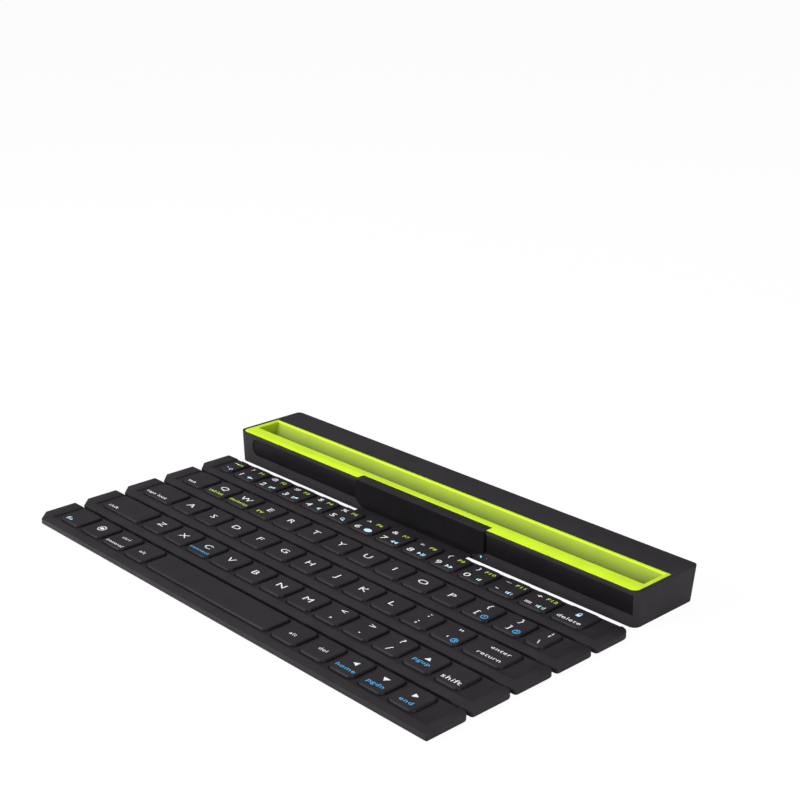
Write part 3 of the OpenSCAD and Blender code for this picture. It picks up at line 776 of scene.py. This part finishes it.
# %% Room in the shell and the liner's seat
inner_x = tray_high.x - WALL - END_LEAN
cavity = add_block("cavity", (-inner_x, FRONT + WALL, -PAST), (inner_x, tray_high.y - BACK_LEAN - WALL, TOP - DECK))
move_edges(cavity, at_depth_and_height(tray_high.y - BACK_LEAN - WALL, TOP - DECK), (0, BACK_LEAN, 0))
carve(shell, cavity)
mouth = add_block("mouth", (-inner_x, FRONT + WALL, MOUTH_LOW), (inner_x, FRONT + LINER_DEEP - LEDGE, TOP + ABOVE))
carve(shell, mouth)
seat = add_block("seat", (tray_low.x + LIP_END, FRONT + LIP, SEAT),
                 (tray_high.x - LIP_END, FRONT + LINER_DEEP, TOP + ABOVE))
bevel_edges(seat, uprights_at_depth(FRONT + LIP), FRONT_RADIUS - LIP, 8)
carve(shell, seat)

# %% The shell's front and left end
notch = add_block("notch", (bridge_low.x - FIT, FRONT - PAST, SEAT), (bridge_high.x + FIT, FRONT + WALL, TOP + ABOVE))
carve(shell, notch)
slit = add_block("slit", (strap_low.x - FIT, FRONT - PAST, SLIT_LOW),
                 (strap_high.x + FIT, FRONT + WALL + PAST, SLIT_HIGH))
carve(shell, slit)
recess = add_block("recess", (panel_low.x - FIT, FRONT - PAST, panel_low.z - FIT),
                   (panel_high.x + FIT, panel_high.y, panel_high.z + FIT))
bevel_edges(recess, lambda a, b: near(a.x, b.x) and near(a.z, b.z) and a.x < 0, PANEL_RADIUS, 6)
carve(shell, recess)


def add_pin(name, vertices, radius, depth, x, y):
    """A round pin along Y at the lights' height, in millimetres."""
    bpy.ops.mesh.primitive_cylinder_add(
        vertices=vertices, radius=radius * MM, depth=depth * MM, location=(x * MM, y * MM, LIGHT_Z * MM),
        rotation=(math.pi / 2, 0, 0),
    )
    pin = bpy.context.object
    pin.name = name
    settle(pin)
    return pin


for x in LIGHT_X:
    carve(shell, add_pin("hole", 20, HOLE_RADIUS, HOLE_DEEP, x, FRONT))
port_hole = add_block("port_hole", (tray_low.x - PAST, PORT_Y - PORT_HALF - FIT, PORT_LOW - FIT),
                      (tray_low.x + FAR_PAST, PORT_Y + PORT_HALF + FIT, port_high.z + FIT))
bevel_edges(port_hole, lambda a, b: abs(a.x - b.x) > 1, PORT_RADIUS, 5)
carve(shell, port_hole)
clean(shell)
bpy.ops.object.shade_smooth_by_angle(angle=SMOOTH)
paint_all(shell, case_black)
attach(shell, "tray")
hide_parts("tray_housing")
print("faces in the shell:", len(shell.data.polygons))

# %% [markdown]
# ## The lime liner
# The liner is moulded in one piece: a plate that fills the top of the tray bar and a pocket under it. The slot's
# front wall is upright and its back wall slopes, so a tablet that stands in it leans back. Extruding the slot down
# from the plate would work too, but a cutter of the slot's own shape keeps the wall's thickness easy to see. A
# bridge cover reaches over the plate at the front, so the plate has a notch there.

# %% Liner
POCKET = 1.2
SLOT_FRONT = 8.7
SLOT_FLOOR_BACK = 16.9
SLOT_BACK = 22.8
SLOT_END = 4.2
POCKET_IN = 0.5
SLOT_X = tray_high.x - SLOT_END
liner = add_block("liner", (liner_low.x, liner_low.y, SEAT), liner_high)
bevel_edges(liner, uprights_at_depth(liner_low.y), FRONT_RADIUS - LIP - FIT, 8)
pocket_back = FRONT + LINER_DEEP - LEDGE - FIT
pocket = add_block("pocket", (-SLOT_X - POCKET, FRONT + SLOT_FRONT - POCKET, liner_low.z),
                   (SLOT_X + POCKET, pocket_back, SEAT + POCKET_IN))
move_edges(pocket, at_depth_and_height(pocket_back, liner_low.z),
           (0, FRONT + SLOT_FLOOR_BACK + POCKET / 4 - pocket_back, 0))
carve(liner, pocket, "UNION")
slot_cut = add_block("slot_cut", (-SLOT_X, FRONT + SLOT_FRONT, liner_low.z + POCKET),
                     (SLOT_X, FRONT + SLOT_BACK, TOP))
move_edges(slot_cut, at_depth_and_height(FRONT + SLOT_BACK, liner_low.z + POCKET),
           (0, SLOT_FLOOR_BACK - SLOT_BACK, 0))
pick_faces(slot_cut, lambda c, n: n.z > 0.9)
extrude((0, 0, ABOVE))
leave_edit()
carve(liner, slot_cut)
carve(liner, add_block("liner_notch", (bridge_low.x - FIT, FRONT - PAST, SEAT - PAST),
                       (bridge_high.x + FIT, bridge_high.y + FIT, TOP + PAST)))
soften(liner, 0.22, 3)
paint_all(liner, liner_lime)
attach(liner, "tray")
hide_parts("tray_liner")
print("slot, in millimetres:", round(2 * SLOT_X, 1), "long and", round(TOP - liner_low.z - POCKET, 1), "deep")

# %% [markdown]
# ## The front panel and the bridge cover
# A darker strip lies in the recess of the front face. Its left end is round. Over it sits the bridge cover, which
# hides where the strap goes in: its lower corners slope in to the strap's width, and an arm reaches over the top.
# Three joined boxes would show seams, so one box becomes that shape by two cuts across it, a push on its lower
# corners and an extrusion for the arm.

# %% Panel
panel = add_block("panel", panel_low, panel_high)
bevel_edges(panel, lambda a, b: near(a.x, b.x) and near(a.z, b.z) and a.x < 0, PANEL_RADIUS - FIT, 6)
soften(panel, 0.08, 2)
paint_all(panel, panel_black)
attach(panel, "tray")
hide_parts("front_panel")

# %% Bridge cover
SHOULDER = panel_low.z - FIT
BRIDGE_CORNER = 0.7
BRIDGE_TOP = 0.5


def slice_across(obj, places, axis):
    """Cuts extra edge loops across obj at places in millimetres along an axis."""
    normal = [0, 0, 0]
    normal["xyz".index(axis)] = 1
    for place in places:
        make_active(obj)
        bpy.ops.object.mode_set(mode="EDIT")
        bpy.ops.mesh.select_all(action="SELECT")
        bpy.ops.mesh.bisect(plane_co=[v * place * MM for v in normal], plane_no=normal)
        leave_edit()


bridge = add_block("bridge", bridge_low, (bridge_high.x, FRONT - FIT, bridge_high.z))
slice_across(bridge, (SHOULDER, SEAT), "z")
for corner, strap_side in ((bridge_low.x, strap_low.x), (bridge_high.x, strap_high.x)):
    move_edges(bridge, lambda a, b: near(a.z, bridge_low.z) and near(b.z, bridge_low.z)
               and near(a.x, corner) and near(b.x, corner), (strap_side - corner, 0, 0))
pick_faces(bridge, lambda c, n: n.y > 0.9 and c.z > SEAT)
extrude((0, bridge_high.y - FRONT + FIT, 0))
leave_edit()
for x in (bridge_low.x, bridge_high.x):
    bevel_edges(bridge, upright_at(x, bridge_low.y), BRIDGE_CORNER, 4)
bevel_edges(bridge, at_depth_and_height(bridge_low.y, bridge_high.z), BRIDGE_TOP, 3)
clean(bridge, 0.01)
soften(bridge, 0.16, 2)
paint_all(bridge, bridge_black)
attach(bridge, "tray")
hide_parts("bridge_cover")
print("faces in the panel and the bridge:", len(panel.data.polygons), len(bridge.data.polygons))

# %% [markdown]
# ## Lights and socket
# The two indicator lights are small light guides that end flush with the front face. One is lit and one is off.
# The charging socket is a drawn steel shell with round corners on its own small board, with a tongue inside. An
# inset and one extrusion inwards hollow it, which leaves a wall of even thickness without a Boolean.

# %% Lights
light_on = moulded("light_on", (0.05, 0.22, 0.75), 0.3, grain_mm=0.6, tone=0.05)
shader_of(light_on).inputs["Emission Color"].default_value = (0.10, 0.42, 1.0, 1)
shader_of(light_on).inputs["Emission Strength"].default_value = 1.6
light_off = moulded("light_off", (0.018, 0.024, 0.034), 0.3, grain_mm=0.6, tone=0.05)
for name, x, material in (("light_left", LIGHT_X[0], light_on), ("light_right", LIGHT_X[1], light_off)):
    light = add_pin(name, 24, LIGHT_RADIUS, lights_high.y - lights_low.y, x, (lights_low.y + lights_high.y) / 2)
    soften(light, 0.12, 2)
    paint_all(light, material)
    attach(light, "tray")
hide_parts("status_lights")

# %% Socket
SOCKET_DEEP = 5.4
SHEET = 0.35
TONGUE_HALF = 2.2
TONGUE_THICK = 0.6
TONGUE_IN = 1.0
TONGUE_ROOT = 0.1
BOARD_START = 2.8
socket_x = tray_low.x + END_LEAN
socket = add_block("socket", (socket_x, PORT_Y - PORT_HALF, PORT_LOW),
                   (socket_x + SOCKET_DEEP, PORT_Y + PORT_HALF, port_high.z))
bevel_edges(socket, lambda a, b: abs(a.x - b.x) > 1, PORT_RADIUS - FIT, 5)
pick_faces(socket, lambda c, n: n.x < -0.9)
bpy.ops.mesh.inset(thickness=SHEET * MM)
extrude((SOCKET_DEEP - SHEET, 0, 0))
leave_edit()
soften(socket, 0.06, 1)
paint_all(socket, steel)
middle = (PORT_LOW + port_high.z) / 2
tongue = add_block("socket_tongue", (socket_x + TONGUE_IN, PORT_Y - TONGUE_HALF, middle - TONGUE_THICK / 2),
                   (socket_x + SOCKET_DEEP - SHEET + TONGUE_ROOT, PORT_Y + TONGUE_HALF, middle + TONGUE_THICK / 2))
soften(tongue, 0.1, 2)
paint_all(tongue, rubber_black)
socket_board = add_block("socket_board", (port_low.x + BOARD_START, port_low.y, port_low.z),
                         (port_high.x, port_high.y, PORT_LOW))
paint_all(socket_board, board_green)
for piece, look in ((socket, "socket_steel"), (tongue, "rubber_black"), (socket_board, "board_green")):
    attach(piece, "tray")
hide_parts("charge_port")
print("faces in the socket:", len(socket.data.polygons))

# %% [markdown]
# ## Rubber that bends
# Four thin webs join the five bars, and a thicker strap joins the number bar to the tray bar. Under the strap runs
# the ribbon that brings power and keystrokes to the tray bar. They all bend when the keyboard is rolled up. A shape
# key for each pose could show that, but it would fit no pose between. Here each is cut into slices across its
# length, and it is not bent.

# %% Webs
def bend_between(piece):
    """Moves the piece's place into its mesh; it does not bend the piece."""
    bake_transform(piece)


WEB_SLICES = 8
for back_row, front_row in zip(ROWS, ROWS[1:]):
    web = add_block(f"web_{back_row}_{front_row}_rubber", *node_box(f"web_{back_row}_{front_row}"))
    start = node_box(f"{front_row}_row_frame")[1].y
    end = node_box(f"{back_row}_row_frame")[0].y
    slice_across(web, [start + (end - start) * i / WEB_SLICES for i in range(WEB_SLICES + 1)], "y")
    bpy.ops.object.shade_smooth_by_angle(angle=ROUNDER)
    paint_all(web, rubber_black)
    bend_between(web)
    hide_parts(f"web_{back_row}_{front_row}")

# %% Strap
LEG = 0.9
FOOT_THICK = 0.45
BAND_LOW, BAND_HIGH = 1.8, 2.8
RIBBON = 0.2
STRAP_SLICES = 16
BEND_CLEAR = 0.2
bar_back = node_box("number_row_frame")[1].y
leg_front = bar_back + FIT
strap = add_block("strap", (strap_low.x, leg_front, BAND_LOW), (strap_high.x, strap_high.y, BAND_HIGH))
for name, low, high in (
    ("strap_leg", (leg_front, strap_low.z), (leg_front + LEG, BAND_HIGH)),
    ("strap_foot", (strap_low.y, strap_low.z), (leg_front + LEG, strap_low.z + FOOT_THICK)),
    ("strap_bead", (strap_high.y - LEG, BAND_LOW), (strap_high.y, strap_high.z)),
):
    carve(strap, add_block(name, (strap_low.x, *low), (strap_high.x, *high)), "UNION")
ribbon_low, ribbon_high = node_box("ribbon_cable")
gap = add_block("gap", (ribbon_low.x - FIT, leg_front - PAST, ribbon_low.z - FIT),
                (ribbon_high.x + FIT, leg_front + LEG + 2 * FIT, ribbon_low.z + RIBBON + FIT))
carve(strap, gap)
clean(strap)
soften(strap, 0.12, 2)
BEND_START = leg_front + LEG
BEND_END = FRONT - BEND_CLEAR
bends = [BEND_START + (BEND_END - BEND_START) * i / STRAP_SLICES for i in range(STRAP_SLICES + 1)]
slice_across(strap, bends, "y")
paint_all(strap, strap_rubber)
bend_between(strap)
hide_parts("hinge_strap")
print("strap between the bars, in millimetres:", round(BEND_END - BEND_START, 2))

# %% Ribbon
ribbon_leg = leg_front + LEG + FIT
ribbon = add_block("ribbon", ribbon_low, (ribbon_high.x, ribbon_leg + RIBBON, ribbon_low.z + RIBBON))
slice_across(ribbon, [ribbon_leg], "y")
pick_faces(ribbon, lambda c, n: n.z > 0.9 and c.y > ribbon_leg)
for rise in (ribbon_high.z - ribbon_low.z - 2 * RIBBON, RIBBON):
    extrude((0, 0, rise))
leave_edit()
pick_faces(ribbon, lambda c, n: n.y > 0.9 and c.z > ribbon_high.z - RIBBON)
extrude((0, ribbon_high.y - ribbon_leg - RIBBON, 0))
leave_edit()
slice_across(ribbon, [y for y in bends if y > ribbon_leg + RIBBON + 2 * FIT], "y")
paint_all(ribbon, ribbon_amber)
bend_between(ribbon)
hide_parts("ribbon_cable")
print("faces in the ribbon:", len(ribbon.data.polygons))

# %% [markdown]
# ## The printing on the keys
# The legends are pad-printed in four inks: white for the characters, lime for the function keys, pale blue for
# the small signs and a stronger blue for what the fn key reaches. An image could carry them all, but real ink has
# crisp edges at any distance, so it is modelled. Words are text objects that become flat meshes, and small signs are
# made of regular polygons. Each is laid on its cap, and a thin Solidify gives the ink its body.

# %% Inks
INK_COLOURS = {
    "white": (0.62, 0.62, 0.64),
    "lime": (0.40, 0.60, 0.045),
    "pale": (0.42, 0.66, 0.78),
    "blue": (0.04, 0.30, 0.60),
}
INKS = {
    ink: moulded(f"ink_{ink}", colour, 0.6, grain_mm=0.3, grain_deep=0.002, tone=0.05)
    for ink, colour in INK_COLOURS.items()
}
INK_THICK = 0.05
INK_LIFT = 0.012
# A capital's height as a share of the font's size, and how much wider than the font the print is.
CAPITAL = 0.729
LETTER_WIDE = 1.58
WORD_WIDE = 1.5
WORD_SPACE = 1.1
print("inks:", len(INKS))

# %% Signs
# Each sign is a list of regular polygons: corners, place, size, width factor, turn in degrees and hollow share.
# Places and sizes are shares of the sign's height.
SIGNS = {
    "UP": [(3, 0, 0, 1.1, 1.3, 0, 0)],
    "DOWN": [(3, 0, 0, 1.1, 1.3, 180, 0)],
    "LEFT": [(3, 0, 0, 1.1, 1.1, 90, 0)],
    "RIGHT": [(3, 0, 0, 1.1, 1.1, -90, 0)],
    "BACK": [(4, 0.5, 0, 0.45, 2.2, 45, 0), (3, -0.2, 0, 1.1, 0.9, 90, 0)],
    "REWIND": [(3, -0.4, 0, 1.1, 0.9, 90, 0), (3, 0.5, 0, 1.1, 0.9, 90, 0)],
    "FORWARD": [(3, -0.5, 0, 1.1, 0.9, -90, 0), (3, 0.4, 0, 1.1, 0.9, -90, 0)],
    "PLAY": [(3, -0.5, 0, 1.1, 0.9, -90, 0), (4, 0.35, 0, 1.3, 0.25, 45, 0), (4, 0.8, 0, 1.3, 0.25, 45, 0)],
    "RING": [(24, 0, 0, 1.0, 1.0, 0, 0.11)],
    "OVAL": [(24, 0, 0, 1.0, 1.45, 0, 0)],
    "PANES": [(4, -0.3, -0.05, 0.8, 1.0, 45, 0.13), (4, 0.3, 0.12, 0.6, 1.0, 45, 0)],
    "LENS": [(24, -0.1, 0.12, 0.85, 1.1, 0, 0.14), (4, 0.5, -0.4, 0.4, 1.6, 45, 0)],
    "MUTE": [(4, -0.45, 0, 0.7, 0.9, 45, 0), (3, -0.1, 0, 1.2, 0.8, 90, 0)],
    "QUIET": [(4, -0.6, 0, 0.7, 0.9, 45, 0), (3, -0.25, 0, 1.2, 0.8, 90, 0), (4, 0.5, 0, 0.9, 0.25, 45, 0)],
    "LOUD": [(4, -0.8, 0, 0.7, 0.9, 45, 0), (3, -0.45, 0, 1.2, 0.8, 90, 0), (4, 0.3, 0, 0.8, 0.25, 45, 0),
             (4, 0.7, 0, 1.3, 0.2, 45, 0)],
    "LOCK": [(4, 0, -0.25, 1.0, 1.1, 45, 0), (20, 0, 0.3, 0.65, 1.0, 0, 0.12)],
}
print("signs:", len(SIGNS))

# %% Printing helpers
def print_word(text, tall):
    """A flat word whose capitals are tall millimetres high."""
    bpy.ops.object.text_add()
    word = bpy.context.object
    word.data.body = text
    word.data.size = tall / CAPITAL * MM
    word.data.space_character = WORD_SPACE
    word.data.resolution_u = 3
    bpy.ops.object.convert(target="MESH")
    word.scale.x = LETTER_WIDE if len(text) == 1 else WORD_WIDE
    settle(word)
    return word


def print_sign(name, tall):
    """A flat sign made of regular polygons."""
    shapes = []
    for corners, x, y, size, wide, turn, hollow in SIGNS[name]:
        bpy.ops.mesh.primitive_circle_add(
            vertices=corners, radius=size * tall / 2 * MM, fill_type="NGON", rotation=(0, 0, math.radians(turn)),
        )
        shape = bpy.context.object
        settle(shape)
        if hollow:
            bpy.ops.object.mode_set(mode="EDIT")
            bpy.ops.mesh.select_all(action="SELECT")
            bpy.ops.mesh.inset(thickness=hollow * tall * MM)
            bpy.ops.mesh.delete(type="FACE")
            leave_edit()
        shape.scale.x = wide
        shape.location = (x * tall * MM, y * tall * MM, 0)
        shapes.append(shape)
    return join(shapes, name)


def lay_on(mark, cap, x, y):
    """Centres a flat mark at x, y from the cap's front left corner, just above the highest cap surface under it."""
    corners = [Vector(c) for c in mark.bound_box]
    low = Vector([min(c[i] for c in corners) for i in range(3)])
    high = Vector([max(c[i] for c in corners) for i in range(3)])
    half = (high - low) / MM / 2
    size = cap[1] - cap[0]
    inside = min(x - half.x, size.x - x - half.x, y - half.y, size.y - y - half.y) - CAP_LEAN - CAP_EDGE
    sunk = CAP_DISH * min(max(inside / (DISH_STEPS * CAP_RIM), 0), 1)
    place = Vector((cap[0].x + x, cap[0].y + y, cap[1].z - sunk + INK_LIFT)) * MM
    middle = (low + high) / 2
    mark.location = (place.x - middle.x, place.y - middle.y, place.z)
    settle(mark)


def print_keys(node, legends):
    """Prints a list of marks on each cap of a node. A mark is ink, text or sign, x, y and height."""
    sheets = {}
    for cap, marks in zip(caps_of(node), legends):
        for ink, what, x, y, tall in marks:
            mark = print_sign(what, tall) if what in SIGNS else print_word(what, tall)
            lay_on(mark, cap, x, y)
            sheets.setdefault(ink, []).append(mark)
    for ink, marks in sheets.items():
        sheet = join(marks, f"{ink}_marks_{node}")
        clean(sheet, 0.002)
        pick_faces(sheet, lambda c, n: n.z < 0)
        bpy.ops.mesh.flip_normals()
        leave_edit()
        finish_with(sheet, "SOLIDIFY", thickness=INK_THICK * MM, offset=-1.0)
        paint_all(sheet, INKS[ink])
        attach(sheet, node)


# %% [markdown]
# ## What each key says
# A mark's place is measured in millimetres from its cap's front left corner. Each key could list its marks in full,
# but most letter keys share one pattern, so short functions write the lists. Every word here is a generic key name
# or a plain word.

# %% Patterns of marks
# Each function gives the marks of one kind of key.
def letter(text):
    return [("white", text, 7.5, 7.3, 3.4)]


def letter_and_word(text, x, ink, word, word_x, word_y, word_tall):
    return [("white", text, x, 8.1, 3.4), (ink, word, word_x, word_y, word_tall)]


def pair(low, high, tall, tall_high=3.2, x=8.3):
    return [("white", low, x, 3.4, tall), ("white", high, x, 11.0, tall_high)]


def circled(digit):
    return [("blue", "RING", 12.3, 3.0, 3.4), ("blue", digit, 12.3, 3.0, 1.9)]


def arrow(sign, word):
    return [("white", sign, 7.4, 8.9, 2.9), ("blue", word, 7.3, 3.9, 2.2)]


NUMBER_SIGNS = ["BACK", "PANES", "PANES", "LEFT", "LENS", "OVAL",
                "REWIND", "PLAY", "FORWARD", "MUTE", "QUIET", "LOUD"]
OWN_HEIGHTS = {"@": 2.1, "OVAL": 3.2, "PANES": 3.2}


def number_key(number, digit, symbol, sign):
    return [("white", digit, 4.3, 3.0, 3.4), ("white", symbol, 4.3, 10.6, OWN_HEIGHTS.get(symbol, 2.7)),
            ("lime", f"F{number}", 11.2, 10.7, 1.9), ("pale", sign, 11.3, 2.9, OWN_HEIGHTS.get(sign, 2.5))]


# %% Legends
LEGENDS = {
    "key_grave": [[("white", "`", 3.1, 4.0, 3.4), ("white", "~", 3.3, 9.9, 3.2), ("pale", "RING", 6.6, 3.2, 2.2),
                   ("lime", "esc", 6.0, 9.9, 1.6)]],
    "number_keys": [
        number_key(number, *marks)
        for number, marks in enumerate(zip("1234567890-=", "!@#$%^&*()_+", NUMBER_SIGNS), 1)
    ],
    "key_delete": [[("white", "delete", 8.7, 3.4, 2.3), ("pale", "LOCK", 9.0, 9.6, 2.6)]],
    "key_tab": [[("white", "tab", 6.6, 2.6, 2.1)]],
    "upper_keys": [letter(c) for c in "QWERTYUIOP"] + [
        [("white", low, 7.4, 3.9, 2.9), ("white", high, 7.9, 11.0, 2.9), *circled(digit)]
        for low, high, digit in ("[{1", "]}2")
    ],
    "key_backslash": [pair("\\", "\u00a6", 2.9, 2.9, 6.0)],
    "key_caps": [[("white", "caps lock", 8.9, 2.7, 1.9)]],
    "home_keys": [letter(c) for c in "ASDFGHJKL"] + [
        pair(";", ":", 3.6, 3.6), [("white", "'", 7.9, 3.6, 3.4), ("white", '"', 8.4, 11.2, 3.4), *circled("3")],
    ],
    "key_enter": [[("white", "enter", 13.6, 10.0, 2.2), ("white", "return", 12.9, 3.7, 2.2)]],
    "key_shift_left": [[("white", "shift", 6.8, 2.7, 1.9)]],
    "lower_keys": [letter(c) for c in "ZXCVBNM"] + [
        pair(",", "<", 3.8, 3.0), pair(".", ">", 3.8, 3.0), pair("/", "?", 3.3),
    ],
    "key_up": [[("white", "UP", 7.6, 8.6, 2.6), ("blue", "pgup", 7.2, 4.6, 2.2)]],
    "key_shift_right": [[("white", "shift", 6.9, 3.9, 2.7)]],
    "key_fn": [[("pale", "fn", 4.6, 3.0, 2.7)]],
    "key_system": [[("white", "RING", 7.6, 7.4, 4.6), ("white", "OVAL", 7.6, 7.4, 1.8)]],
    "key_control": [[("white", "ctrl", 7.6, 9.2, 1.9), ("white", "control", 7.8, 2.7, 1.9)]],
    "key_alt_left": [[("white", "alt", 7.1, 6.4, 1.9)]],
    "key_alt_right": [[("white", "alt", 8.0, 6.5, 1.9)]],
    "key_erase": [[("white", "del", 8.2, 6.9, 1.9)]],
    "key_left": [arrow("LEFT", "home")],
    "key_down": [arrow("DOWN", "pgdn")],
    "key_right": [arrow("RIGHT", "end")],
}
# Four letter keys carry a word as well, so their letter sits higher.
LEGENDS["upper_keys"][0] = letter_and_word("Q", 7.5, "lime", "tablet", 7.6, 2.9, 2.1)
LEGENDS["upper_keys"][1] = letter_and_word("W", 7.5, "lime", "desktop", 7.6, 2.9, 1.9)
LEGENDS["upper_keys"][2] = letter_and_word("E", 8.5, "lime", "tv", 5.9, 3.6, 2.8)
LEGENDS["lower_keys"][2] = letter_and_word("C", 7.5, "blue", "connect", 7.3, 3.1, 1.9)

# %% Print the keys
for node, legends in LEGENDS.items():
    print_keys(node, legends)

# %% [markdown]
# ## The boxes at the end
# The script prints the box of the CAD model and the box that the new pieces fill. The
# new pieces have to keep to the room of the CAD model.

size = {"cad": [list(v) for v in cad_box], "visual": [list(v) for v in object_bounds()]}
print("size:", size)
